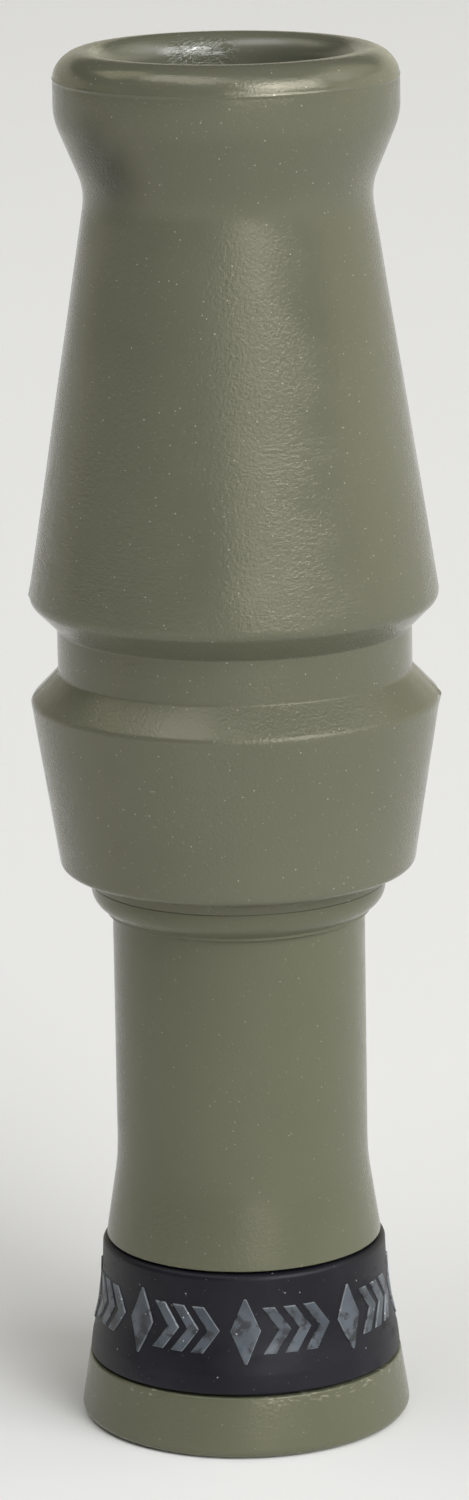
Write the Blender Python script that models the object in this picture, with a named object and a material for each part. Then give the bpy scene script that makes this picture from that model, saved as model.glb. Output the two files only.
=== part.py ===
"""Rigid grunt call for deer hunting.

A thick turned barrel slides over the tenon of an exhaust insert and is sealed by two O-rings. Inside, a tone
board is plugged into the insert. It carries a thin reed, the wedge that clamps the reed's tail, and a small
ring that slides along the reed to tune it. A rubber band sits in a groove round the insert's bell.

The call stands on its bell. Its axis is Z, the table is Z = 0, and the reed faces -Y.
"""

import math

import bmesh
import bpy
from mathutils import Vector

MM = 0.001

# Driving dimensions, in millimetres.
HEIGHT = 140.0
JOINT_Z = 56.1  # the insert's flange ends here, and the barrel begins
BARREL_R = 20.5  # the two widest corners, beside the lanyard groove
TUBE_R = 12.74
BELL_R = 16.95
RIM_R = 17.0
SOCKET_R = 12.6
BORE_R = 8.2  # the insert's seat for the tone board
GAP = 0.3  # between pieces that touch on the real call
RUNNING_GAP = 0.2  # between round pieces on one axis

# Barrel, from its lower end up.
BARREL_FOOT_Z = JOINT_Z + GAP
LIP_R = 14.85
LIP_HEIGHT = 0.7
COLLAR_FOOT_R = 17.85
COLLAR_FOOT_Z = 57.95
COLLAR_TOP_Z = 75.1
LANYARD_GROOVE_R = 17.72
LANYARD_GROOVE_Z = (78.0, 82.67)
CONE_FOOT_Z = 85.45
WAIST_R = 14.04
WAIST_Z = 126.2
SHOULDER_Z = 133.3
MOUTH_R = 11.6
CHAMBER_TOP_R = 11.2
CHAMBER_FOOT_R = 12.0
SOCKET_TOP_Z = 80.0

# Insert.
FLARE_TOP_Z = 27.2
BAND_GROOVE_Z = (6.2, 18.9)
BAND_GROOVE_R = (14.25, 12.6)
FLANGE_FOOT_Z = 52.85
TENON_R = SOCKET_R - 2 * RUNNING_GAP
TENON_TOP_Z = 79.0
SEAT_Z = 50.0
EXHAUST_THROAT_R = 6.6
EXHAUST_THROAT_Z = 26.0
EXHAUST_MOUTH_R = 12.9

# Seals.
SEAL_Z = {"lower_o_ring": 62.5, "upper_o_ring": 72.0}
SEAL_WIRE_R = 0.8
SEAL_CENTRE_R = SOCKET_R - RUNNING_GAP - SEAL_WIRE_R
SEAL_GROOVE_R = SEAL_CENTRE_R - SEAL_WIRE_R - RUNNING_GAP
SEAL_GROOVE_HALF = SEAL_WIRE_R + RUNNING_GAP

# Tone board, reed, wedge and tuning ring.
PLUG_R = BORE_R - RUNNING_GAP
PLUG_FOOT_Z = SEAT_Z + GAP
BOARD_R = 7.0
BOARD_TIP_Z = 122.0
BOARD_FACE_Y = -1.5
FACE_CURVE_R = 760.0  # the face curves away from the reed, towards the tip
NOTCH_FOOT_Z = 67.8
REED_HINGE_Z = 78.0  # the reed bends from the wedge's front edge
REED_FOOT_Z = 70.0
REED_TIP_Z = 121.0
REED_HALF_WIDTH = 6.2
REED_THICKNESS = 0.35
REED_BACK_Y = BOARD_FACE_Y - GAP
REED_FRONT_Y = REED_BACK_Y - REED_THICKNESS
TIP_ARCH = 8.0  # length of the rounded tips of board and reed
CHANNEL_Z = (83.0, 117.0)
CHANNEL_HALF_WIDTH = 4.0
CHANNEL_Y = 1.6
CHANNEL_END_SLOPE = 0.9
WINDWAY_R = 3.2
WINDWAY_Y = 2.4
WEDGE_Z = (68.5, 79.0)
WEDGE_CHAMFER = 0.6
TUNING_RING_Z = 90.0
TUNING_RING_WIRE_R = 0.9
TUNING_RING_CORNER_R = 1.5
TUNING_RING_CLEARANCE = 0.45  # over the reed, which rises this far as it swings

# Mesh fineness.
SEGMENTS = 48  # sides of a turned piece
WIRE_SIDES = 10
ARC_STEP = math.radians(20)


def between(low, high, share):
    return low + (high - low) * share


def arc_points(centre, radius, start, turn, step=ARC_STEP):
    """Points of an arc in a plane, both ends included."""
    count = max(1, math.ceil(abs(turn) / step))
    angles = (start + turn * i / count for i in range(count + 1))
    return [
        (centre[0] + radius * math.cos(a), centre[1] + radius * math.sin(a))
        for a in angles
    ]


def rounded(corners):
    """A closed outline through corners given as (x, y, fillet radius), with an arc at each rounded one."""
    points = []
    for i, (x, y, radius) in enumerate(corners):
        corner = Vector((x, y))
        if not radius:
            points.append((x, y))
            continue
        before = (Vector(corners[i - 1][:2]) - corner).normalized()
        after = (Vector(corners[(i + 1) % len(corners)][:2]) - corner).normalized()
        half_angle = before.angle(after) / 2
        centre = corner + (before + after).normalized() * (radius / math.sin(half_angle))
        start = corner + before * (radius / math.tan(half_angle)) - centre
        end = corner + after * (radius / math.tan(half_angle)) - centre
        turn = math.atan2(start.x * end.y - start.y * end.x, start.dot(end))
        points += arc_points(centre, radius, math.atan2(start.y, start.x), turn)
    return points


def material(name, colour, roughness, metallic=0.0):
    made = bpy.data.materials.new(name)
    made.use_nodes = True
    shader = made.node_tree.nodes["Principled BSDF"]
    shader.inputs["Base Color"].default_value = (*colour, 1.0)
    shader.inputs["Roughness"].default_value = roughness
    shader.inputs["Metallic"].default_value = metallic
    made.diffuse_color = (*colour, 1.0)
    return made


def finished(name, bm, origin, finish):
    """Turns a bmesh drawn in the call's own frame into an object whose origin lies at origin."""
    bmesh.ops.recalc_face_normals(bm, faces=bm.faces[:])
    bmesh.ops.translate(bm, verts=bm.verts[:], vec=-Vector(origin) * MM)
    mesh = bpy.data.meshes.new(name)
    bm.to_mesh(mesh)
    bm.free()
    mesh.shade_smooth()
    mesh.set_sharp_from_angle(angle=math.radians(30))
    made = bpy.data.objects.new(name, mesh)
    made.location = Vector(origin) * MM
    bpy.context.scene.collection.objects.link(made)
    if finish:
        mesh.materials.append(finish)
    return made


def turned(name, outline, origin_z, finish, segments=SEGMENTS):
    """A piece turned about Z from its closed outline of (radius, height) points."""
    bm = bmesh.new()
    ring = [bm.verts.new((r * MM, 0.0, z * MM)) for r, z in outline]
    edges = [bm.edges.new((ring[i - 1], ring[i])) for i in range(len(ring))]
    bmesh.ops.spin(
        bm,
        geom=ring + edges,
        angle=math.tau,
        steps=segments,
        axis=(0, 0, 1),
        cent=(0, 0, 0),
        use_merge=True,
    )
    bmesh.ops.remove_doubles(bm, verts=bm.verts[:], dist=1e-7)
    bmesh.ops.dissolve_degenerate(bm, edges=bm.edges[:], dist=1e-7)
    return finished(name, bm, (0, 0, origin_z), finish)


def prism(name, outline, place, direction, origin, finish):
    """A flat outline, put in space by place(a, b), pushed along direction, all in millimetres."""
    bm = bmesh.new()
    face = bm.faces.new([bm.verts.new(Vector(place(a, b)) * MM) for a, b in outline])
    pushed = bmesh.ops.extrude_face_region(bm, geom=[face])["geom"]
    moved = [v for v in pushed if isinstance(v, bmesh.types.BMVert)]
    bmesh.ops.translate(bm, verts=moved, vec=Vector(direction) * MM)
    return finished(name, bm, origin, finish)


def cut(piece, cutter):
    """Takes the cutter's shape out of the piece and hides the cutter."""
    boolean = piece.modifiers.new(cutter.name, "BOOLEAN")
    boolean.operation = "DIFFERENCE"
    boolean.object = cutter
    cutter.hide_render = True
    cutter.display_type = "WIRE"


def barrel(finish):
    outer = [
        (SOCKET_R + 0.5, BARREL_FOOT_Z, 0),
        (LIP_R, BARREL_FOOT_Z, 0.1),
        (LIP_R, BARREL_FOOT_Z + LIP_HEIGHT, 0),
        (COLLAR_FOOT_R, COLLAR_FOOT_Z, 0.9),
        (BARREL_R, COLLAR_TOP_Z, 1.1),
        (LANYARD_GROOVE_R, LANYARD_GROOVE_Z[0], 0.3),
        (LANYARD_GROOVE_R, LANYARD_GROOVE_Z[1], 0.4),
        (BARREL_R, CONE_FOOT_Z, 1.3),
        (WAIST_R, WAIST_Z, 6.3),
        (RIM_R, SHOULDER_Z, 6.0),
        (RIM_R, HEIGHT, 3.0),
    ]
    inner = [
        (MOUTH_R, HEIGHT, 2.35),
        (CHAMBER_TOP_R, WAIST_Z, 8.0),
        (CHAMBER_FOOT_R, SOCKET_TOP_Z + 0.8, 0),
        (SOCKET_R, SOCKET_TOP_Z, 0),
        (SOCKET_R, BARREL_FOOT_Z + 0.5, 0),
    ]
    return turned("barrel", rounded(outer + inner), BARREL_FOOT_Z, finish)


def seal_groove(z):
    """The outline of one O-ring groove in the tenon, going up."""
    low, high = z - SEAL_GROOVE_HALF, z + SEAL_GROOVE_HALF
    return [
        (TENON_R, low, 0),
        (SEAL_GROOVE_R, low, 0),
        (SEAL_GROOVE_R, high, 0),
        (TENON_R, high, 0),
    ]


def flare_r(z):
    """The outer radius of the insert's straight flare at height z."""
    return between(BELL_R, TUBE_R, z / FLARE_TOP_Z)


def insert(finish):
    outer = [
        (BELL_R, 0.0, 0.9),
        (flare_r(BAND_GROOVE_Z[0]), BAND_GROOVE_Z[0], 0),
        (BAND_GROOVE_R[0], BAND_GROOVE_Z[0], 0),
        (BAND_GROOVE_R[1], BAND_GROOVE_Z[1], 0),
        (flare_r(BAND_GROOVE_Z[1]), BAND_GROOVE_Z[1], 0),
        (TUBE_R, FLARE_TOP_Z, 20.0),
        (TUBE_R, FLANGE_FOOT_Z, 0),
        (LIP_R, 54.55, 2.4),
        (LIP_R, JOINT_Z, 0.15),
        (TENON_R, JOINT_Z, 0),
    ]
    for z in SEAL_Z.values():
        outer += seal_groove(z)
    outer.append((TENON_R, TENON_TOP_Z, 0.5))
    inner = [
        (BORE_R, TENON_TOP_Z, 0),
        (BORE_R, SEAT_Z, 0),
        (EXHAUST_THROAT_R, SEAT_Z, 0),
        (EXHAUST_THROAT_R, EXHAUST_THROAT_Z, 24.0),
        (EXHAUST_MOUTH_R, 0.0, 0.6),
    ]
    return turned("insert", rounded(outer + inner), 0.0, finish)


def grip_band(finish):
    low = BAND_GROOVE_Z[0] + GAP
    high = BAND_GROOVE_Z[1] - GAP
    outline = [
        (BAND_GROOVE_R[0] + RUNNING_GAP, low, 0),
        (15.95, low, 0.25),
        (15.72, 8.5, 2.0),
        (14.95, 11.6, 3.0),
        (14.62, 14.5, 3.0),
        (14.42, high, 0.3),
        (BAND_GROOVE_R[1] + RUNNING_GAP, high, 0),
    ]
    return turned("grip_band", rounded(outline), 0.0, finish)


def o_ring(name, finish):
    z = SEAL_Z[name]
    wire = arc_points((SEAL_CENTRE_R, z), SEAL_WIRE_R, 0.0, math.tau, math.tau / WIRE_SIDES)
    return turned(name, wire[:-1], z, finish)


def board_face(z):
    """How far along Y the tone board's face lies at height z."""
    past_hinge = max(0.0, z - REED_HINGE_Z)
    return BOARD_FACE_Y + past_hinge**2 / (2 * FACE_CURVE_R)


def tip_arch(half_width, tip_z):
    """The rounded end of the board or the reed, from +X over the tip to -X."""
    points = arc_points((0, 0), 1.0, 0.0, math.pi, math.radians(15))
    return [(half_width * x, tip_z - TIP_ARCH + TIP_ARCH * z) for x, z in points]


def face_cutter():
    heights = [NOTCH_FOOT_Z, REED_HINGE_Z]
    steps = 8
    top = BOARD_TIP_Z + 1
    heights += [between(REED_HINGE_Z, top, (i + 1) / steps) for i in range(steps)]
    side = BOARD_R + 3
    outline = [(board_face(z), z) for z in heights]
    outline += [(-side, top), (-side, NOTCH_FOOT_Z)]
    return prism("face_cutter", outline, lambda y, z: (-side, y, z), (2 * side, 0, 0), (0, 0, 0), None)


def windway_cutter():
    outline = arc_points((0, WINDWAY_Y), WINDWAY_R, 0.0, math.tau)[:-1]
    low = PLUG_FOOT_Z - 1
    length = CHANNEL_Z[0] + 1 - low
    return prism("windway_cutter", outline, lambda x, y: (x, y, low), (0, 0, length), (0, 0, 0), None)


def channel_cutter():
    """The open channel: a round floor, straight sides, and an end that slopes up to the tip."""
    half = CHANNEL_HALF_WIDTH
    outline = arc_points((0, CHANNEL_Y), half, math.pi, -math.pi)
    outline += [(half, BOARD_FACE_Y - 3), (-half, BOARD_FACE_Y - 3)]
    low, high = CHANNEL_Z
    made = prism("channel_cutter", outline, lambda x, y: (x, y, low), (0, 0, high - low), (0, 0, 0), None)
    for vertex in made.data.vertices:
        if vertex.co.z > low * MM:
            vertex.co.z -= (vertex.co.y - BOARD_FACE_Y * MM) * CHANNEL_END_SLOPE
    return made


def tip_cutter():
    outline = tip_arch(BOARD_R + 0.05, BOARD_TIP_Z - 0.05)
    side, top = BOARD_R + 3, BOARD_TIP_Z + 3
    foot = BOARD_TIP_Z - TIP_ARCH - 0.05
    outline += [(-side, foot), (-side, top), (side, top), (side, foot)]
    return prism("tip_cutter", outline, lambda x, z: (x, -side, z), (0, 2 * side, 0), (0, 0, 0), None)


def tone_board(finish):
    outline = rounded(
        [
            (0.0, PLUG_FOOT_Z, 0),
            (PLUG_R, PLUG_FOOT_Z, 0.5),
            (PLUG_R, TENON_TOP_Z, 0),
            (BOARD_R, TENON_TOP_Z, 0),
            (BOARD_R, BOARD_TIP_Z, 0),
            (0.0, BOARD_TIP_Z, 0),
        ]
    )
    made = turned("tone_board", outline, PLUG_FOOT_Z, finish)
    for cutter in (face_cutter(), windway_cutter(), channel_cutter(), tip_cutter()):
        cut(made, cutter)
    return made


def reed(finish):
    outline = tip_arch(REED_HALF_WIDTH, REED_TIP_Z)
    outline += [(-REED_HALF_WIDTH, REED_FOOT_Z), (REED_HALF_WIDTH, REED_FOOT_Z)]
    hinge = (0, between(REED_FRONT_Y, REED_BACK_Y, 0.5), REED_HINGE_Z)
    push = (0, REED_THICKNESS, 0)
    return prism("reed", outline, lambda x, z: (x, REED_FRONT_Y, z), push, hinge, finish)


def reed_wedge(finish):
    """A segment of cork between the reed's tail and the wall of the bore, with its lower edges chamfered."""
    radius = BORE_R - RUNNING_GAP
    flat_y = REED_FRONT_Y - GAP
    half = math.acos(-flat_y / radius)
    outline = arc_points((0, 0), radius, -math.pi / 2 - half, 2 * half, math.radians(12))
    low, high = WEDGE_Z
    made = prism("reed_wedge", outline, lambda x, y: (x, y, low), (0, 0, high - low), (0, 0, low), finish)
    bevel = made.modifiers.new("soft_edges", "BEVEL")
    bevel.width = WEDGE_CHAMFER * MM / 2
    bevel.segments = 1
    bevel.limit_method = "ANGLE"
    bevel.angle_limit = math.radians(60)
    return made


def tuning_ring(finish):
    """A round-wire ring stretched round the back of the board and straight across the reed."""
    path_r = BOARD_R + RUNNING_GAP + TUNING_RING_WIRE_R
    front_y = REED_FRONT_Y - TUNING_RING_CLEARANCE - TUNING_RING_WIRE_R
    start = math.asin(front_y / path_r)
    back = arc_points((0, 0), path_r, start, math.pi - 2 * start, math.radians(15))
    right, left = back[0], back[-1]
    corners = [(*right, TUNING_RING_CORNER_R)]
    corners += [(x, y, 0) for x, y in back[1:-1]]
    corners += [(*left, TUNING_RING_CORNER_R), (0.0, front_y, 0)]
    points = rounded(corners)
    curve = bpy.data.curves.new("tuning_ring", "CURVE")
    curve.dimensions = "3D"
    curve.bevel_depth = TUNING_RING_WIRE_R * MM
    curve.bevel_resolution = 2
    spline = curve.splines.new("POLY")
    spline.points.add(len(points) - 1)
    for point, (x, y) in zip(spline.points, points):
        point.co = (x * MM, y * MM, 0.0, 1.0)
    spline.use_cyclic_u = True
    curve.materials.append(finish)
    made = bpy.data.objects.new("tuning_ring", curve)
    made.location = (0, 0, TUNING_RING_Z * MM)
    bpy.context.scene.collection.objects.link(made)
    return made


def main():
    for old in list(bpy.data.objects):
        bpy.data.objects.remove(old)
    olive = material("olive_plastic", (0.125, 0.130, 0.080), 0.42)
    band_rubber = material("band_rubber", (0.012, 0.012, 0.014), 0.6)
    seal_rubber = material("seal_rubber", (0.01, 0.01, 0.01), 0.45)
    board_plastic = material("board_plastic", (0.02, 0.02, 0.02), 0.35)
    mylar = material("reed_mylar", (0.62, 0.60, 0.52), 0.25)
    cork = material("cork", (0.42, 0.27, 0.14), 0.85)
    pieces = [
        barrel(olive),
        insert(olive),
        grip_band(band_rubber),
        o_ring("lower_o_ring", seal_rubber),
        o_ring("upper_o_ring", seal_rubber),
        tone_board(board_plastic),
        reed(mylar),
        reed_wedge(cork),
        tuning_ring(seal_rubber),
    ]
    call = bpy.data.objects.new("grunt_call", None)
    bpy.context.scene.collection.objects.link(call)
    for piece in pieces:
        piece.parent = call


main()
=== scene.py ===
"""Looks of the grunt call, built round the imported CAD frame.

Outlines, places and the depth of a bump are in millimetres, and radii are measured from the call's axis. They
become metres where a point is made or a node's socket is filled. The scale of a pattern is per metre.
"""
import math

import bmesh
import bpy
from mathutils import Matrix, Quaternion, Vector, noise


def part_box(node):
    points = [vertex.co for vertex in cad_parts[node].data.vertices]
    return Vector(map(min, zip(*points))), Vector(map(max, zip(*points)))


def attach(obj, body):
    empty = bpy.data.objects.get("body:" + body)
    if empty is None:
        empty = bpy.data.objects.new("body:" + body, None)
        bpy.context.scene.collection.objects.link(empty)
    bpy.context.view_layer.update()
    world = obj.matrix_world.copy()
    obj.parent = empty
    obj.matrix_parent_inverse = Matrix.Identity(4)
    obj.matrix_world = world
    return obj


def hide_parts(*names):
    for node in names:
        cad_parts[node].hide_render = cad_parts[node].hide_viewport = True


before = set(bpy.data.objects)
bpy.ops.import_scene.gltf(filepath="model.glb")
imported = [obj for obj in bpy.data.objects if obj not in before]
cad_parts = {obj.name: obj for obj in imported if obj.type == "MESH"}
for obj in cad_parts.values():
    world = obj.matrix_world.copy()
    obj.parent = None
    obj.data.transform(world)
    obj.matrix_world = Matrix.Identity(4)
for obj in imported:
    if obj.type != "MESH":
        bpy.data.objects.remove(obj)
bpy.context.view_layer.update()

MM = 0.001
ONE_PLACE = 1e-7  # metres: points nearer than this are merged as a piece is made
SHARP = 35.0  # degrees: edges that turn more than this stay crisp
LONGEST_SIDE = 1.6  # of an outline, so that the waves in a moulded wall have points to move
ROUND = 256  # sides of a turned piece

# Linear colours.
WHITE = (1.0, 1.0, 1.0)
WARM = (1.0, 0.93, 0.76, 1.0)
STRAW = (1.0, 0.96, 0.76)
PALE_DUST = (0.46, 0.46, 0.38)
# Painted shade: the dark olive laid on the neck where it lies in shade.
NECK_SHADE_OLIVE = (0.022, 0.023, 0.009)
BARREL_OLIVE = (0.118, 0.121, 0.084)
INSERT_OLIVE = (0.110, 0.115, 0.075)

# ---------------------------------------------------------------- outlines


def along(here, ahead, part, whole):
    """The point part / whole of the way from here to ahead."""
    return tuple(p + (q - p) * part / whole for p, q in zip(here, ahead))


def arc(centre, radius, start=0.0, turn=math.tau, step=math.radians(6)):
    """Points of an arc, both ends included."""
    count = max(1, math.ceil(abs(turn) / step))
    angles = (start + turn * i / count for i in range(count + 1))
    return [(centre[0] + radius * math.cos(a), centre[1] + radius * math.sin(a)) for a in angles]


def circle(centre, radius, step=math.radians(6)):
    return arc(centre, radius, step=step)[:-1]


def rounded(corners, closed=True):
    """The outline through corners (x, y, fillet radius)."""
    points = []
    for i, (x, y, radius) in enumerate(corners):
        corner = Vector((x, y))
        at_end = not closed and i in (0, len(corners) - 1)
        if not radius or at_end:
            points.append((x, y))
            continue
        before = (Vector(corners[i - 1][:2]) - corner).normalized()
        after = (Vector(corners[(i + 1) % len(corners)][:2]) - corner).normalized()
        half = before.angle(after) / 2
        centre = corner + (before + after).normalized() * (radius / math.sin(half))
        start = corner + before * (radius / math.tan(half)) - centre
        end = corner + after * (radius / math.tan(half)) - centre
        turn = math.atan2(start.x * end.y - start.y * end.x, start.dot(end))
        points += arc(centre, radius, math.atan2(start.y, start.x), turn)
    return points


def refined(points, longest=LONGEST_SIDE):
    """The closed outline with no side longer than longest."""
    out = []
    for i, here in enumerate(points):
        ahead = points[(i + 1) % len(points)]
        count = max(1, math.ceil(math.dist(here, ahead) / longest))
        out += [along(here, ahead, k, count) for k in range(count)]
    return out


def with_heights(points, heights, beyond, clear=0.01):
    """The outline with points added where its part beyond that radius crosses each height."""
    out = []
    for i, here in enumerate(points):
        out.append(here)
        ahead = points[(i + 1) % len(points)]
        low, high = sorted((here[1], ahead[1]))
        crossed = [h for h in heights if low + clear < h < high - clear] if here[0] > beyond else []
        for h in sorted(crossed, reverse=ahead[1] < here[1]):
            out.append((along(here, ahead, h - here[1], ahead[1] - here[1])[0], h))
    return out


# ---------------------------------------------------------------- pieces


def linked(name, bm, material, sharp=SHARP):
    """Puts a bmesh in the scene as one clean piece."""
    bmesh.ops.remove_doubles(bm, verts=bm.verts[:], dist=ONE_PLACE)
    bmesh.ops.dissolve_degenerate(bm, edges=bm.edges[:], dist=ONE_PLACE)
    bmesh.ops.recalc_face_normals(bm, faces=bm.faces[:])
    mesh = bpy.data.meshes.new(name)
    bm.to_mesh(mesh)
    bm.free()
    mesh.shade_smooth()
    mesh.set_sharp_from_angle(angle=math.radians(sharp))
    made = bpy.data.objects.new(name, mesh)
    bpy.context.scene.collection.objects.link(made)
    mesh.materials.append(material)
    return made


def placed(piece, body, slot, *nodes):
    """Hangs the piece on the empty of the body it rides on and hides the nodes it stands for; slot, its
    finish, is not used.
    """
    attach(piece, body)
    if nodes:
        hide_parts(*nodes)


def zoned(piece, *zones):
    """Gives faces another material where a zone's test(radius, height) holds."""
    for material, test in zones:
        piece.data.materials.append(material)
        index = len(piece.data.materials) - 1
        for polygon in piece.data.polygons:
            c = polygon.center / MM
            if test(math.hypot(c.x, c.y), c.z):
                polygon.material_index = index


def around(segments=ROUND, seams=()):
    """Angles of the sides of a turned piece, with extra ones close to each mould seam."""
    digits = 9
    angles = {round(math.tau * i / segments, digits) for i in range(segments)}
    for seam in seams:
        angles.add(round(seam, digits))
        for degrees in (0.15, 0.35, 0.7):
            off = math.radians(degrees)
            angles |= {round((seam + side * off) % math.tau, digits) for side in (-1, 1)}
    return sorted(angles)


def skinned(bm, rings):
    """Faces between closed rings of points, and from the last ring to the first."""
    for i, ahead in enumerate(rings):
        here = rings[i - 1]
        for k in range(len(here)):
            beside = (k + 1) % len(here)
            bm.faces.new((here[k], here[beside], ahead[beside], ahead[k]))


def turned(name, outline, material, angles, lift=None):
    """A closed outline of (radius, height) turned about Z; lift(angle, radius, height) adds to the radius."""
    bm = bmesh.new()
    rings = []
    for angle in angles:
        ring = []
        for r, z in outline:
            reach = (r + (lift(angle, r, z) if lift else 0.0)) * MM
            ring.append(bm.verts.new((reach * math.cos(angle), reach * math.sin(angle), z * MM)))
        rings.append(ring)
    skinned(bm, rings)
    return linked(name, bm, material)


def prism(outline, place, push):
    """A closed prism: a flat outline of (a, b), put in space by place(a, b) and pushed."""
    bm = bmesh.new()
    face = bm.faces.new([bm.verts.new(Vector(place(a, b)) * MM) for a, b in outline])
    pushed = bmesh.ops.extrude_face_region(bm, geom=[face])["geom"]
    moved = [v for v in pushed if isinstance(v, bmesh.types.BMVert)]
    bmesh.ops.translate(bm, verts=moved, vec=Vector(push) * MM)
    return bm


def swept(name, path, wire, height, material, sides=20):
    """A round wire along a closed flat path at one height."""
    bm = bmesh.new()
    rings = []
    for i, (x, y) in enumerate(path):
        before, after = path[i - 1], path[(i + 1) % len(path)]
        out = Vector((after[1] - before[1], before[0] - after[0])).normalized()
        ring = []
        for reach, rise in circle((0, 0), wire, math.tau / sides):
            ring.append(bm.verts.new(Vector((x + out.x * reach, y + out.y * reach, height + rise)) * MM))
        rings.append(ring)
    skinned(bm, rings)
    return linked(name, bm, material)


def baked(piece, sharp=SHARP):
    """Puts the modifiers' result into the piece's own mesh."""
    bpy.context.view_layer.update()
    graph = bpy.context.evaluated_depsgraph_get()
    mesh = bpy.data.meshes.new_from_object(piece.evaluated_get(graph))
    piece.modifiers.clear()
    piece.data = mesh
    mesh.shade_smooth()
    mesh.set_sharp_from_angle(angle=math.radians(sharp))


def carved(piece, cutters):
    """Cuts each prism out of the piece, for good."""
    made = [linked(f"cutter_{i}", bm, piece.data.materials[0]) for i, bm in enumerate(cutters)]
    for cutter in made:
        boolean = piece.modifiers.new(cutter.name, "BOOLEAN")
        boolean.object = cutter
        boolean.operation = "DIFFERENCE"
    baked(piece)
    for cutter in made:
        bpy.data.objects.remove(cutter)


def softened(piece, width, segments=3, angle=40.0, sharp=SHARP):
    """Bevels the edges that turn more than angle degrees, for good."""
    bevel = piece.modifiers.new("edges", "BEVEL")
    bevel.width = width * MM
    bevel.segments = segments
    bevel.limit_method = "ANGLE"
    bevel.angle_limit = math.radians(angle)
    bevel.harden_normals = False
    baked(piece, sharp)


# ---------------------------------------------------------------- node trees


class Nodes:
    """A material's node tree, with short calls for the nodes used here."""

    def __init__(self, name):
        self.material = bpy.data.materials.new(name)
        self.material.use_nodes = True
        self.tree = self.material.node_tree
        self.shader = self.tree.nodes["Principled BSDF"]
        self.place = self.added("TexCoord").outputs["Object"]

    def added(self, kind):
        return self.tree.nodes.new("ShaderNode" + kind)

    def link(self, source, target):
        """Joins an output, or puts a plain value, to a socket."""
        if hasattr(source, "is_output"):
            self.tree.links.new(source, target)
        else:
            target.default_value = source

    def stretch(self, scale, lean=0.0):
        """Object coordinates times scale, turned first by lean degrees about the front-to-back axis."""
        turn = self.added("VectorRotate")
        turn.rotation_type = "Y_AXIS"
        self.link(self.place, turn.inputs["Vector"])
        turn.inputs["Angle"].default_value = math.radians(lean)
        node = self.added("Mapping")
        self.link(turn.outputs[0], node.inputs["Vector"])
        node.inputs["Scale"].default_value = scale
        return node.outputs[0]

    def near(self, spot, full, none):
        """1 within full of the spot (x, y, z), falling to 0 at none."""
        node = self.added("VectorMath")
        node.operation = "DISTANCE"
        self.link(self.place, node.inputs[0])
        node.inputs[1].default_value = [c * MM for c in spot]
        return self.ramp(node.outputs["Value"], none * MM, full * MM)

    def zone(self, low, full_low, full_high, high):
        """1 between the two inner heights, falling to 0 at the outer ones."""
        split = self.added("SeparateXYZ")
        self.link(self.place, split.inputs[0])
        height = split.outputs["Z"]
        above = self.ramp(height, low * MM, full_low * MM)
        return self.product(above, self.ramp(height, high * MM, full_high * MM))

    def noise(self, scale, detail=2.0, rough=0.5, place=None, distortion=0.0):
        node = self.added("TexNoise")
        self.link(place or self.place, node.inputs["Vector"])
        node.inputs["Scale"].default_value = scale
        node.inputs["Detail"].default_value = detail
        node.inputs["Roughness"].default_value = rough
        node.inputs["Distortion"].default_value = distortion
        return node.outputs["Fac"]

    def cells(self, scale):
        """Distance from the middle of each cell, and one number of its own for each cell."""
        node = self.added("TexVoronoi")
        self.link(self.place, node.inputs["Vector"])
        node.inputs["Scale"].default_value = scale
        split = self.added("SeparateColor")
        self.link(node.outputs["Color"], split.inputs[0])
        return node.outputs["Distance"], split.outputs[0]

    def ramp(self, value, low, high, to_low=0.0, to_high=1.0):
        node = self.added("MapRange")
        node.interpolation_type = "SMOOTHSTEP"
        self.link(value, node.inputs["Value"])
        for name, v in (("From Min", low), ("From Max", high), ("To Min", to_low), ("To Max", to_high)):
            node.inputs[name].default_value = v
        return node.outputs["Result"]

    def math(self, kind, a, b):
        node = self.added("Math")
        node.operation = kind
        self.link(a, node.inputs[0])
        self.link(b, node.inputs[1])
        return node.outputs[0]

    def product(self, first, *others):
        for other in others:
            first = self.math("MULTIPLY", first, other)
        return first

    def mix(self, factor, a, b):
        node = self.added("Mix")
        node.data_type = "RGBA"
        self.link(factor, node.inputs["Factor"])
        self.link(a if hasattr(a, "is_output") else (*a, 1.0), node.inputs["A"])
        self.link(b if hasattr(b, "is_output") else (*b, 1.0), node.inputs["B"])
        return node.outputs["Result"]

    def bump(self, height, depth, normal=None):
        """A normal tilted by a pattern that stands depth proud, over another normal if given."""
        node = self.added("Bump")
        self.link(height, node.inputs["Height"])
        node.inputs["Distance"].default_value = depth * MM
        node.inputs["Strength"].default_value = 1.0
        if normal is not None:
            self.link(normal, node.inputs["Normal"])
        return node.outputs["Normal"]

    def specks(self, scale, size, share):
        """Dust: a small round dot in some of the cells."""
        distance, number = self.cells(scale)
        dot = self.ramp(distance, size, size * 0.6)
        return self.product(dot, self.math("GREATER_THAN", number, 1.0 - share))

    def finish(self, colour, roughness, normal=None, **fixed):
        """Fills the shader; fixed holds sockets that take a constant."""
        self.link(colour, self.shader.inputs["Base Color"])
        self.link(roughness, self.shader.inputs["Roughness"])
        if normal is not None:
            self.link(normal, self.shader.inputs["Normal"])
        for name, value in fixed.items():
            self.shader.inputs[name.replace("_", " ")].default_value = value
        return self.material


# ---------------------------------------------------------------- olive plastic

# Patches for Nodes.near, the first of them painted shade on the left of the neck, then heights for
# Nodes.zone.
NECK_SHADE_PATCH = ((-12.2, -9.6, 129.9), 1.2, 6.8)
BORE_POLISH = ((-2.4, 11.4, 138.0), 2.0, 4.6)
CREASED_CONE = (84.0, 87.0, 99.0, 109.0)
SCUFFED_LIP = (5.0, 5.8, 6.2, 6.6)
POLISHED_ROUGHNESS = 0.06
# Two crossing sets of scratches: how fine along x, y and z, and how many degrees they lean.
SCRATCH_SETS = (((700.0, 700.0, 4200.0), 0.0), ((500.0, 500.0, 3600.0), 32.0))


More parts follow.
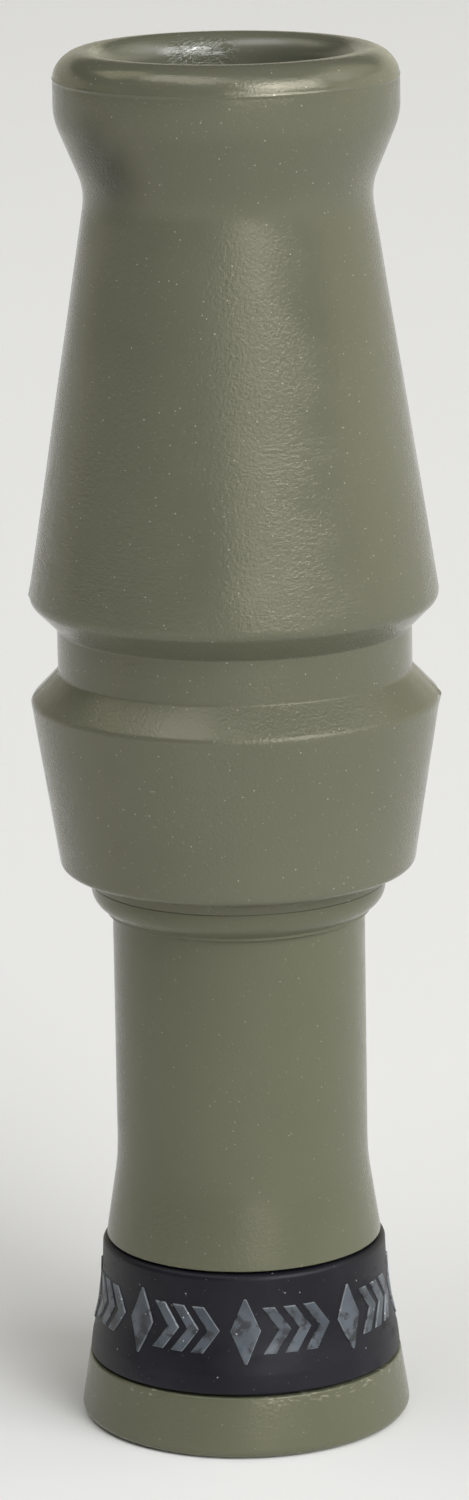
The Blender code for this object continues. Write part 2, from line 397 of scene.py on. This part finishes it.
def dusty_cloud(m, colour, dusty):
    """The colour with faint clouding and two sizes of dust."""
    dark, pale = (tuple(c * share for c in colour) for share in (0.96, 1.04))
    tone = m.mix(m.ramp(m.noise(55.0, 3.0), 0.3, 0.7), dark, pale)
    fine = m.product(m.specks(1700.0, 0.10, 0.9), 0.55)
    dust = m.math("MAXIMUM", m.specks(950.0, 0.08, 0.9), fine)
    return m.mix(m.product(dust, 0.7 * dusty), tone, PALE_DUST)


def scuffed_lip(m, tone):
    """Pale streaks, in patches, along the edge of the lip under the band."""
    patches = m.ramp(m.noise(70.0, 2.0), 0.48, 0.60)
    streaks = m.noise(1.0, 3.0, 0.6, m.stretch((1100.0, 1100.0, 3000.0)))
    marks = m.ramp(streaks, 0.54, 0.66, 0.0, 0.35)
    return m.mix(m.product(marks, m.zone(*SCUFFED_LIP), patches), tone, PALE_DUST)


def painted_neck_shade(m, tone, shade_patch):
    """Painted shade: the colour darkened in a slightly uneven patch."""
    uneven = m.ramp(m.noise(260.0, 3.0), 0.25, 0.6, 0.62, 0.90)
    return m.mix(m.product(m.near(*shade_patch), uneven), tone, NECK_SHADE_OLIVE)


def orange_peel(m, wrinkle):
    """The fine texture of an eroded mould, stronger in some patches than in others."""
    patch = m.ramp(m.noise(90.0, 2.0), 0.35, 0.65, 0.5, 1.0)
    return m.bump(m.product(m.noise(3000.0, 3.0, 0.6), patch), 0.10 * wrinkle)


def creased_cone(m, normal, wrinkle):
    """Level creases low on the cone."""
    streaks = m.ramp(m.noise(140.0, 2.0), 0.35, 0.65)
    lines = m.noise(1.0, 2.0, 0.5, m.stretch((900.0, 900.0, 3300.0)), 0.8)
    return m.bump(m.product(lines, streaks, m.zone(*CREASED_CONE)), 0.09 * wrinkle, normal)


def scratches(m, normal, depth, patch):
    """Crossing scratches, everywhere or only in a patch."""
    for scale, lean in SCRATCH_SETS:
        lines = m.ramp(m.noise(1.0, 2.0, 0.6, m.stretch(scale, lean), 1.0), 0.46, 0.54)
        if patch:
            lines = m.product(lines, m.near(*patch))
        normal = m.bump(lines, depth, normal)
    return normal


def moulded_plastic(
    name,
    colour,
    roughness,
    wrinkle,
    dusty=1.0,
    creased=False,
    scuffed=False,
    shade_patch=None,
    scratched=0.0,
    polished=None,
    specular=0.5,
    tint=WARM,
):
    """Olive plastic with the texture of its mould and a little dust.

    wrinkle and dusty scale texture and dust, and scratched is the scratches' depth. The patch darkened as
    painted shade and the polished one are places for Nodes.near; scratches then keep to the polished one.
    """
    m = Nodes(name)
    tone = dusty_cloud(m, colour, dusty)
    if scuffed:
        tone = scuffed_lip(m, tone)
    if shade_patch:
        tone = painted_neck_shade(m, tone, shade_patch)
    if polished:
        rough = m.ramp(m.near(*polished), 0.0, 1.0, roughness, POLISHED_ROUGHNESS)
    else:
        rough = m.ramp(m.noise(420.0, 3.0), 0.3, 0.7, roughness - 0.03, roughness + 0.04)
    normal = orange_peel(m, wrinkle)
    if creased:
        normal = creased_cone(m, normal, wrinkle)
    if scratched:
        normal = scratches(m, normal, scratched, polished)
    return m.finish(tone, rough, normal, Specular_IOR_Level=specular, Specular_Tint=tint)


# The barrel's olive has painted shade on the left of its neck.
olive = moulded_plastic("olive_textured", BARREL_OLIVE, 0.12, 1.0, creased=True, shade_patch=NECK_SHADE_PATCH)
olive_rim = moulded_plastic("olive_rim", BARREL_OLIVE, 0.14, 0.35, scratched=0.003, specular=0.75)
olive_bore = moulded_plastic(
    "olive_bore",
    BARREL_OLIVE,
    0.30,
    0.12,
    scratched=0.014,
    polished=BORE_POLISH,
    specular=1.0,
    tint=(*WHITE, 1.0),
)
olive_insert = moulded_plastic("olive_insert", INSERT_OLIVE, 0.19, 0.60, dusty=0.5, scuffed=True)

# ---------------------------------------------------------------- barrel

JOINT_Z = 56.15  # where barrel and insert meet
HAIRLINE = 0.01
BARREL_FOOT = JOINT_Z + HAIRLINE
MOUTH_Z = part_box("barrel")[1].z / MM
LIP_R = 14.85  # of the barrel's lip and the insert's flange
WIDEST_R = 20.5
LANYARD_GROOVE_R = 17.72
NECK_Z = 126.2
RIM_R = 17.0
SOCKET_R = 12.6
RIM_LINE_Z = 137.25  # the fine ring that the mould's rim insert leaves
RIM_LINE_STEPS = (-0.45, -0.36, -0.26, -0.13, 0.0, 0.13, 0.26)
# What stands proud of the outside, which lies beyond BARREL_OUTSIDE_R.
BARREL_OUTSIDE_R = 13.9
BARREL_WAVE = 0.035
SEAM_HEIGHT, SEAM_WIDTH = 0.03, 0.09
RIGHT_NUB, LEFT_NUB = (0.16, 75.0), (0.09, 85.6)  # flash on either seam: its height and where it is
NUB_WIDTH, NUB_LENGTH = 0.3, 0.45
RIM_RING, RIM_DIP, RIM_RING_WIDTH = 0.09, 0.05, 0.12  # a fine ring with a dip just under it
RIM_DIP_BELOW = 0.26


def bulge(x, centre, width):
    """A smooth hump, 1 at its centre."""
    return math.exp(-(((x - centre) / width) ** 2))


def barrel_lift(angle, r, z):
    """Shrinkage waves, the mould's two seams with their nubs of flash, and the ring at the rim."""
    on_outside = r > BARREL_OUTSIDE_R and z > BARREL_FOOT + 0.2
    if not on_outside:
        return 0.0
    c, s = math.cos(angle), math.sin(angle)
    lift = BARREL_WAVE * noise.noise(Vector((c * r * 0.11, s * r * 0.11, z * 0.09)))
    near_seam = abs(s) < 0.1
    if near_seam:
        off_seam = abs(s) * r
        nub, nub_z = RIGHT_NUB if c > 0 else LEFT_NUB
        lift += SEAM_HEIGHT * bulge(off_seam, 0.0, SEAM_WIDTH)
        lift += nub * bulge(off_seam, 0.0, NUB_WIDTH) * bulge(z, nub_z, NUB_LENGTH)
    worn = 0.7 + 0.6 * noise.noise(Vector((c * 3, s * 3, 7.0)))
    ring = RIM_RING * bulge(z, RIM_LINE_Z, RIM_RING_WIDTH)
    dip = RIM_DIP * bulge(z, RIM_LINE_Z - RIM_DIP_BELOW, RIM_RING_WIDTH)
    return lift + (ring - dip) * worn


barrel_corners = [
    (13.1, BARREL_FOOT, 0),
    (LIP_R, BARREL_FOOT, 0.06),
    (LIP_R, 57.0, 0.12),
    (17.85, 57.95, 0.95),
    (WIDEST_R, 75.1, 0.9),
    (LANYARD_GROOVE_R, 78.0, 0.35),
    (LANYARD_GROOVE_R, 82.5, 0.45),
    (WIDEST_R, 85.3, 1.3),
    (14.04, NECK_Z, 6.3),
    (RIM_R, 133.3, 6.0),
    (RIM_R, MOUTH_Z, 3.0),
    (11.6, MOUTH_Z, 2.35),
    (11.2, NECK_Z, 8.0),
    (12.0, 80.8, 0),
    (SOCKET_R, 80.0, 0),
    (SOCKET_R, 56.9, 0),
]
rim_heights = [RIM_LINE_Z + step for step in RIM_LINE_STEPS]
barrel_line = with_heights(refined(rounded(barrel_corners)), rim_heights, beyond=16.0)
barrel = turned("barrel_shell", barrel_line, olive, around(seams=(0.0, math.pi)), barrel_lift)
zoned(
    barrel,
    (olive_rim, lambda r, z: z > RIM_LINE_Z),
    (olive_bore, lambda r, z: 123.0 < z <= 139.6 and r < 12.9),
)
placed(barrel, "barrel", "olive_plastic", "barrel")

# ---------------------------------------------------------------- insert

BELL_R, TUBE_R, FLARE_TOP = 16.95, 12.74, 27.2
BAND_FLOOR = ((14.25, 6.25), (12.6, 18.9))  # radius and height of the band's groove, low and high
TENON_R, TENON_TOP = 12.2, 79.0
SEAL_HEIGHTS = {"lower": 62.5, "upper": 72.0}
SEAL_GROOVE_R, SEAL_GROOVE_HALF = 10.6, 1
PLUG_BORE_R, PLUG_SEAT = 8.2, 50.0
THROAT_R = 6.6
# Where the outside has waves: beyond this radius and below this height.
INSERT_OUTSIDE_R, INSERT_WAVES_TOP = 12.7, 56.0
INSERT_WAVE = 0.03


def flare_r(z):
    """The outer radius of the insert's straight flare."""
    return BELL_R + (TUBE_R - BELL_R) * z / FLARE_TOP


def insert_lift(angle, r, z):
    """Shrinkage waves on the outside."""
    if r < INSERT_OUTSIDE_R or z > INSERT_WAVES_TOP:
        return 0.0
    c, s = math.cos(angle), math.sin(angle)
    return INSERT_WAVE * noise.noise(Vector((c * r * 0.12, s * r * 0.12, z * 0.10 + 40.0)))


def seal_groove(z):
    """Corners of one O-ring groove in the tenon, going up."""
    low, high = z - SEAL_GROOVE_HALF, z + SEAL_GROOVE_HALF
    return [(TENON_R, low, 0.1), (SEAL_GROOVE_R, low, 0), (SEAL_GROOVE_R, high, 0), (TENON_R, high, 0.1)]


(groove_low_r, groove_low), (groove_high_r, groove_high) = BAND_FLOOR
insert_corners = [
    (BELL_R, 0.0, 0.9),
    (flare_r(groove_low), groove_low, 0.22),
    (groove_low_r, groove_low, 0),
    (groove_high_r, groove_high, 0),
    (flare_r(groove_high), groove_high, 0.15),
    (TUBE_R, FLARE_TOP, 20.0),
    (TUBE_R, 52.80, 0.10),
    (13.32, 53.10, 0.05),
    (13.30, 53.36, 0.05),
    (LIP_R, 54.52, 2.4),
    (LIP_R, JOINT_Z - HAIRLINE, 0.06),
    (TENON_R, JOINT_Z - HAIRLINE, 0),
]
for z in SEAL_HEIGHTS.values():
    insert_corners += seal_groove(z)
insert_corners += [
    (TENON_R, TENON_TOP, 0.5),
    (PLUG_BORE_R, TENON_TOP, 0.2),
    (PLUG_BORE_R, PLUG_SEAT, 0),
    (THROAT_R, PLUG_SEAT, 0.3),
    (THROAT_R, 26.0, 24.0),
    (12.9, 0.0, 0.6),
]
insert = turned("insert_shell", refined(rounded(insert_corners)), olive_insert, around(), insert_lift)
placed(insert, "insert", "olive_plastic", "insert")

# ---------------------------------------------------------------- band

BAND_BACK_R = 13.9  # the band's outer face lies beyond this radius
BAND_WAVE = 0.04
band_corners = [
    (14.27, 6.45, 0),
    (15.92, 6.45, 0.35),
    (15.66, 8.5, 2.0),
    (14.93, 11.6, 4.0),
    (14.57, 14.5, 4.0),
    (14.43, 18.68, 0.65),
    (12.68, 18.68, 0),
]


def rubber():
    """Black rubber with dust and duller smears."""
    m = Nodes("band_rubber_moulded")
    tone = m.mix(m.ramp(m.noise(120.0, 4.0), 0.35, 0.75), (0.007, 0.007, 0.011), (0.013, 0.013, 0.019))
    fine = m.product(m.specks(1300.0, 0.08, 0.9), 0.4)
    dust = m.math("MAXIMUM", m.specks(700.0, 0.07, 0.5), fine)
    tone = m.mix(m.product(dust, 0.8), tone, (0.34, 0.34, 0.33))
    smears = m.ramp(m.noise(1.0, 3.0, 0.6, m.stretch((160.0, 160.0, 420.0))), 0.52, 0.72)
    rough = m.ramp(smears, 0.0, 1.0, 0.42, 0.60)
    return m.finish(tone, rough, m.bump(m.noise(1800.0, 3.0), 0.014), Specular_IOR_Level=0.24)


def band_lift(angle, r, z):
    """Slow waves in the outer face."""
    if r < BAND_BACK_R:
        return 0.0
    c, s = math.cos(angle), math.sin(angle)
    return BAND_WAVE * noise.noise(Vector((c * 2.2, s * 2.2, z * 0.25 + 9.0)))


band = turned("band_sleeve", refined(rounded(band_corners), 0.8), rubber(), around(), band_lift)
placed(band, "insert", "band_rubber", "grip_band")

# ---------------------------------------------------------------- ornament on the band

STUD_HEIGHT = 0.16  # how far a figure stands proud
STUD_SINK = 0.12  # how deep it is rooted in the band
STUD_EDGE = 0.10  # how wide and high its eased edge is
FRIEZE_MIDDLE = 12.95
FRIEZE_UNITS = 8
FRIEZE_R = 15.0  # lengths round the band are measured at this radius
CHEVRONS = (2.4, 4.6, 6.8)  # how far round from each lozenge
DARK_PAINT, PALE_PAINT = (0.040, 0.050, 0.064), (0.085, 0.100, 0.120)
# Painted highlight: a lighter copy of the paint for the figures' eased edges.
EDGE_HIGHLIGHT_DARK, EDGE_HIGHLIGHT_PALE = (0.100, 0.115, 0.130), (0.190, 0.210, 0.230)


def band_surface(z):
    """The band's outer radius at height z."""
    face = [(r, h) for r, h in rounded(band_corners) if r > BAND_BACK_R]
    for low, high in zip(face, face[1:]):
        if low[1] <= z <= high[1] and high[1] > low[1]:
            return along(low, high, z - low[1], high[1] - low[1])[0]
    return FRIEZE_R


def stepped(low, high, edge, count):
    """Places from low to high with their lifts: up the wall, over the eased edge, across and down."""
    flat = [low + edge + (high - low - 2 * edge) * i / count for i in range(count + 1)]
    wall = (-STUD_SINK, STUD_HEIGHT - STUD_EDGE)
    lifts = [*wall, *[STUD_HEIGHT] * len(flat), *reversed(wall)]
    return list(zip([low, low, *flat, high, high], lifts))


def stud(bm, low, high, left, right, rows=16, columns=7):
    """One raised figure from low to high, with its left and right edge at each height."""

    def point(x, z, lift):
        angle = x / FRIEZE_R - math.pi / 2
        reach = (band_surface(z) + lift) * MM
        return bm.verts.new((reach * math.cos(angle), reach * math.sin(angle), z * MM))

    top, base = [], []
    for z, row_lift in stepped(low, high, STUD_EDGE, rows):
        a, b = left(z), right(z)
        across = stepped(a, b, min(STUD_EDGE, (b - a) * 0.3), columns)
        top.append([point(x, z, min(lift, row_lift)) for x, lift in across])
        base.append([point(x, z, -STUD_SINK) for x, _ in across])
    for grid in (top, base):
        for here, ahead in zip(grid, grid[1:]):
            for k in range(len(here) - 1):
                bm.faces.new((here[k], here[k + 1], ahead[k + 1], ahead[k]))


def chevron(bm, at, half=2.35, stroke=1.30, depth=1.7):
    """A chevron that points along the way round the band."""

    def middle(z):
        return at + depth * (1 - abs(z - FRIEZE_MIDDLE) / half)

    low, high = FRIEZE_MIDDLE - half, FRIEZE_MIDDLE + half
    stud(bm, low, high, lambda z: middle(z) - stroke / 2, lambda z: middle(z) + stroke / 2)


def lozenge(bm, at, half=3.3, width=1.45, tip=0.12):
    """A lozenge with blunt tips."""

    def reach(z):
        return tip + width * (1 - abs(z - FRIEZE_MIDDLE) / half)

    low, high = FRIEZE_MIDDLE - half, FRIEZE_MIDDLE + half
    stud(bm, low, high, lambda z: at - reach(z), lambda z: at + reach(z))


def grey_paint(name, dark, pale, glints):
    """Blue-grey pad print on the raised figures, thin and nicked so that the rubber shows, with pale specks
    as painted glints.
    """
    m = Nodes(name)
    worn = m.ramp(m.noise(620.0, 5.0, 0.65), 0.50, 0.62)
    tone = m.mix(m.ramp(m.noise(330.0, 3.0), 0.3, 0.7), dark, pale)
    tone = m.mix(worn, tone, (0.022, 0.024, 0.029))
    # Pale specks: painted glints.
    tone = m.mix(m.specks(1300.0, 0.14, glints), tone, (0.50, 0.52, 0.53))
    rough = m.ramp(m.noise(600.0, 3.0), 0.3, 0.7, 0.28, 0.46)
    return m.finish(tone, rough, m.bump(m.noise(1500.0, 4.0), 0.02))


def on_stud_edge(r, z):
    """Whether a face lies lower than the flat top of the figures."""
    return r < band_surface(z) + STUD_HEIGHT - 0.02


frieze_bm = bmesh.new()
for unit in range(FRIEZE_UNITS):
    start = math.tau * FRIEZE_R * unit / FRIEZE_UNITS
    lozenge(frieze_bm, start)
    for away in CHEVRONS:
        chevron(frieze_bm, start + away)
frieze = linked("band_frieze", frieze_bm, grey_paint("frieze_paint", DARK_PAINT, PALE_PAINT, 0.2), 40.0)
# The eased edges take the lighter paint as a painted highlight, with more painted glints.
zoned(frieze, (grey_paint("frieze_edge_highlight", EDGE_HIGHLIGHT_DARK, EDGE_HIGHLIGHT_PALE, 0.6), on_stud_edge))
placed(frieze, "insert", "band_rubber")

# ---------------------------------------------------------------- seals


def seal_material():
    """Greased rubber."""
    m = Nodes("seal_greased")
    tone = m.mix(m.ramp(m.noise(300.0, 3.0), 0.35, 0.7), (0.009, 0.009, 0.010), (0.018, 0.018, 0.020))
    rough = m.ramp(m.noise(500.0, 4.0), 0.35, 0.65, 0.22, 0.42)
    return m.finish(tone, rough, m.bump(m.noise(2400.0, 2.0), 0.006))


SEAL_R, SEAL_WIRE_R = 11.6, 0.8
SEAL_FLASH, SEAL_FLASH_WIDTH = 0.03, 0.06
seal_rubber = seal_material()


def seal(side, z):
    """An O-ring with the fine flash line of its mould round the outside."""

    def flash(_, r, h):
        return SEAL_FLASH * bulge(h - z, 0.0, SEAL_FLASH_WIDTH) * (r > SEAL_R)

    wire = circle((SEAL_R, z), SEAL_WIRE_R, math.radians(15))
    ring = turned(f"{side}_seal", wire, seal_rubber, around(160), flash)
    placed(ring, "seals", "seal_rubber", f"{side}_o_ring")


for side, z in SEAL_HEIGHTS.items():
    seal(side, z)

# ---------------------------------------------------------------- sound board

PLUG_FOOT, PLUG_R = 50.3, 8.0
BOARD_R, BOARD_TIP = 7.0, 122.0
NOTCH_FOOT = 67.8  # the bottom of the notch in the plug that reed and wedge sit in
FACE_Y, HINGE_Z, FACE_CURVE = -1.5, 78.0, 760.0  # the face under the reed, curved above the hinge
TIP_RISE = 8.0  # how high the arch at the tip of board and reed is
FINE_STEP = math.radians(4)


def board_material():
    """Black moulded plastic with faint lines along the board."""
    m = Nodes("board_moulded")
    tone = m.mix(m.ramp(m.noise(90.0, 3.0), 0.3, 0.7), (0.016, 0.016, 0.017), (0.026, 0.026, 0.027))
    tone = m.mix(m.product(m.specks(500.0, 0.07, 0.3), 0.5), tone, (0.25, 0.25, 0.24))
    rough = m.ramp(m.noise(450.0, 3.0), 0.3, 0.7, 0.30, 0.42)
    lines = m.noise(1.0, 2.0, 0.5, m.stretch((5000.0, 1200.0, 260.0)))
    return m.finish(tone, rough, m.bump(lines, 0.006))


def board_face(z):
    """Where the face under the reed lies in Y, falling away from the reed towards the tip."""
    return FACE_Y + max(0.0, z - HINGE_Z) ** 2 / (2 * FACE_CURVE)


def tip_arch(half, tip):
    """The arched end of a strip, from its right side to its left."""
    points = arc((0, 0), 1.0, turn=math.pi, step=FINE_STEP)
    return [(half * x, tip - TIP_RISE + TIP_RISE * z) for x, z in points]


def front_cutter(side, top, steps=24):
    """What is in front of the board's face."""
    heights = [NOTCH_FOOT, HINGE_Z] + [HINGE_Z + (top - HINGE_Z) * (i + 1) / steps for i in range(steps)]
    face = [(board_face(z), z) for z in heights] + [(-side, top), (-side, NOTCH_FOOT)]
    return prism(face, lambda y, z: (-side, y, z), (2 * side, 0, 0))


def windway_cutter(radius=3.2, depth=2.4, foot=49.3, length=34.7):
    """The round bore through the plug."""
    return prism(circle((0, depth), radius), lambda x, y: (x, y, foot), (0, 0, length))


def channel_cutter(half=4.0, front=-4.5, foot=83.0, length=34.0, slope=0.9):
    """The open channel under the reed, whose far end ramps up to the board's face."""
    outline = arc((0, 1.6), half, math.pi, -math.pi) + [(half, front), (-half, front)]
    cutter = prism(outline, lambda x, y: (x, y, foot), (0, 0, length))
    for vertex in cutter.verts:
        at_far_end = vertex.co.z > (foot + length / 2) * MM
        if at_far_end:
            vertex.co.z -= (vertex.co.y - FACE_Y * MM) * slope
    return cutter


def tip_cutter(side, shoulder=113.95):
    """What is outside the arch at the tip."""
    outline = tip_arch(BOARD_R + 0.05, BOARD_TIP - 0.05)
    outline += [(-side, shoulder), (-side, BOARD_TIP + 3), (side, BOARD_TIP + 3), (side, shoulder)]
    return prism(outline, lambda x, z: (x, -side, z), (0, 2 * side, 0))


board_corners = [
    (0.0, PLUG_FOOT, 0),
    (PLUG_R, PLUG_FOOT, 0.5),
    (PLUG_R, TENON_TOP, 0.2),
    (BOARD_R, TENON_TOP, 0),
    (BOARD_R, BOARD_TIP, 0),
    (0.0, BOARD_TIP, 0),
]
board = turned("sound_board", refined(rounded(board_corners), 6.0), board_material(), around(144))
clear_side = BOARD_R + 3
carved(
    board,
    [front_cutter(clear_side, BOARD_TIP + 1), windway_cutter(), channel_cutter(), tip_cutter(clear_side)],
)
softened(board, 0.10, segments=2, angle=35.0, sharp=30.0)
placed(board, "insert", "board_plastic", "tone_board")

# ---------------------------------------------------------------- reed, wedge and tuning ring

REED_BACK, REED_FRONT = FACE_Y - 0.3, FACE_Y - 0.65
REED_HALF, REED_FOOT, REED_TIP = 6.2, 70.0, 121.0
WEDGE_R, WEDGE_FOOT, WEDGE_HEIGHT = 8.0, 68.5, 10.5
RING_Z, RING_WIRE_R = 90.0, 0.9


def film_material():
    """Frosted polyester film, brushed along its length."""
    m = Nodes("reed_film")
    tone = m.mix(m.ramp(m.noise(140.0, 3.0), 0.3, 0.7), (0.56, 0.54, 0.46), (0.68, 0.66, 0.58))
    rough = m.ramp(m.noise(900.0, 3.0), 0.3, 0.7, 0.16, 0.23)
    brushed = m.noise(1.0, 2.0, 0.5, m.stretch((2400.0, 2400.0, 240.0)))
    normal = m.bump(brushed, 0.002)
    return m.finish(tone, rough, normal, Transmission_Weight=0.25, Subsurface_Weight=0.15)


def cork_material():
    """Cut cork: grains of their own tone, with dark pores."""
    m = Nodes("cork_cut")
    distance, number = m.cells(1300.0)
    pores = m.ramp(m.noise(900.0, 4.0, 0.7), 0.60, 0.68)
    tone = m.mix(number, (0.36, 0.21, 0.10), (0.55, 0.36, 0.19))
    tone = m.mix(pores, tone, (0.12, 0.06, 0.03))
    return m.finish(tone, 0.85, m.bump(m.math("SUBTRACT", distance, pores), 0.05))


def reed_outline():
    """The strip seen from the front: arched at the tip, with two rounded corners at the foot."""
    shoulder = REED_TIP - TIP_RISE
    left, right = (-REED_HALF, shoulder, 0), (REED_HALF, shoulder, 0)
    foot = [left, (-REED_HALF, REED_FOOT, 0.8), (REED_HALF, REED_FOOT, 0.8), right]
    return tip_arch(REED_HALF, REED_TIP) + rounded(foot, closed=False)[1:-1]


def ring_path():
    """Round the back of the board, then straight across the reed with the corners eased."""
    path_r, front = BOARD_R + 0.2 + RING_WIRE_R, REED_FRONT - 0.45 - RING_WIRE_R
    start = math.asin(front / path_r)
    back = arc((0, 0), path_r, start, math.pi - 2 * start, math.radians(5))
    eased, skipped = 1.5, 3  # the points next to a corner give way to its fillet
    kept = [(x, y, 0) for x, y in back[skipped:-skipped]]
    return rounded([(*back[0], eased), *kept, (*back[-1], eased), (0.0, front, 0)])


strip = prism(reed_outline(), lambda x, z: (x, REED_FRONT, z), (0, REED_BACK - REED_FRONT, 0))
reed = linked("reed_film", strip, film_material())
softened(reed, 0.06, segments=2)
placed(reed, "reed", "reed_mylar", "reed")

wedge_half = math.acos(-(REED_FRONT - 0.3) / WEDGE_R)
segment = arc((0, 0), WEDGE_R, -math.pi / 2 - wedge_half, 2 * wedge_half, FINE_STEP)
block = prism(segment, lambda x, y: (x, y, WEDGE_FOOT), (0, 0, WEDGE_HEIGHT))
wedge = linked("cork_wedge", block, cork_material())
softened(wedge, 0.3)
placed(wedge, "insert", "cork", "reed_wedge")

ring = swept("pitch_ring", ring_path(), RING_WIRE_R, RING_Z, seal_rubber)
placed(ring, "tuning_ring", "seal_rubber", "tuning_ring")

# ---------------------------------------------------------------- camera

CAMERA_PLACE = (-0.0002, -0.575, 0.2086)  # metres
CAMERA_LENS = 141.3
CAMERA_DOWN = 13.61  # degrees below level
CAMERA_ROLL = 0.0156  # radians

scene = bpy.context.scene
camera = bpy.data.objects.new("camera", bpy.data.cameras.new("camera"))
camera.data.sensor_width = 36.0
camera.data.lens = CAMERA_LENS
camera.data.clip_start = 0.01
camera.location = CAMERA_PLACE
camera.rotation_mode = "QUATERNION"
tilt = Quaternion((1, 0, 0), math.radians(90.0 - CAMERA_DOWN))
camera.rotation_quaternion = tilt @ Quaternion((0, 0, 1), -CAMERA_ROLL)
scene.collection.objects.link(camera)
scene.camera = camera

# ---------------------------------------------------------------- light

LIGHT_DISTANCE = 8.0  # metres
LIGHT_AIM = Vector((0, 0, 0.07))  # the call's middle
WORLD_STRENGTH = 0.05
# Azimuth, elevation, width and height in degrees seen from the call, radiance, and a colour if not white.
SOFTBOXES = {
    "key": (44, 35, 47, 30, 5.3),
    "key_core": (36, 36, 10, 18, 4.5),
    "key_low": (15, 12, 26, 18, 3.4),
    "key_side": (36, 15, 15, 12, 2.4),
    "front_top": (30, 60, 20, 18, 1.3),
    "left_top": (-50, 66, 42, 26, 2.2),
    "left_low": (-90, 8, 30, 28, 0.25, STRAW),
    "left_back": (-115, 50, 24, 24, 1.1, STRAW),
    "back_left_low": (-145, 8, 75, 24, 0.5, STRAW),
    "back_left_rim": (-145, 8, 25, 24, 0.6, STRAW),
    "back_low": (152, 8, 50, 24, 0.75, STRAW),
    "right_low": (102, 8, 50, 24, 0.85, STRAW),
    "right": (95, 38, 24, 28, 1.4),
    "right_back": (125, 38, 24, 28, 0.7, STRAW),
}


def filling(degrees):
    """The length that fills that angle at the lights' distance."""
    return 2 * LIGHT_DISTANCE * math.tan(math.radians(degrees / 2))


def softbox(name, azimuth, elevation, wide, tall, radiance, colour=WHITE):
    """A rectangular light that faces the call; azimuth 0 is the camera's side."""
    a, e = math.radians(azimuth), math.radians(elevation)
    out = Vector((math.sin(a) * math.cos(e), -math.cos(a) * math.cos(e), math.sin(e)))
    data = bpy.data.lights.new(name, "AREA")
    data.shape = "RECTANGLE"
    data.size = filling(wide)
    data.size_y = filling(tall)
    data.energy = math.pi * data.size * data.size_y * radiance
    data.color = colour
    made = bpy.data.objects.new(name, data)
    made.location = LIGHT_AIM + out * LIGHT_DISTANCE
    made.rotation_mode = "QUATERNION"
    made.rotation_quaternion = (-out).to_track_quat("-Z", "Y")
    made.visible_camera = False
    scene.collection.objects.link(made)


for name, light in SOFTBOXES.items():
    softbox(name, *light)

world = bpy.data.worlds.new("studio")
world.use_nodes = True
background = world.node_tree.nodes["Background"]
background.inputs["Color"].default_value = (*WHITE, 1.0)
background.inputs["Strength"].default_value = WORLD_STRENGTH
scene.world = world
scene.view_settings.view_transform = "Standard"

# ---------------------------------------------------------------- floor

FLOOR_R = 12.0  # metres
FLOOR_Z = -0.03  # a hair under the call's foot
FLOOR_GREY = (0.90, 0.90, 0.90, 1.0)

floor_bm = bmesh.new()
bmesh.ops.create_circle(floor_bm, cap_ends=True, radius=FLOOR_R, segments=96)
bmesh.ops.translate(floor_bm, verts=floor_bm.verts[:], vec=(0.0, 0.0, FLOOR_Z * MM))
floor = linked("floor", floor_bm, Nodes("floor_paint").finish(FLOOR_GREY, 0.9))
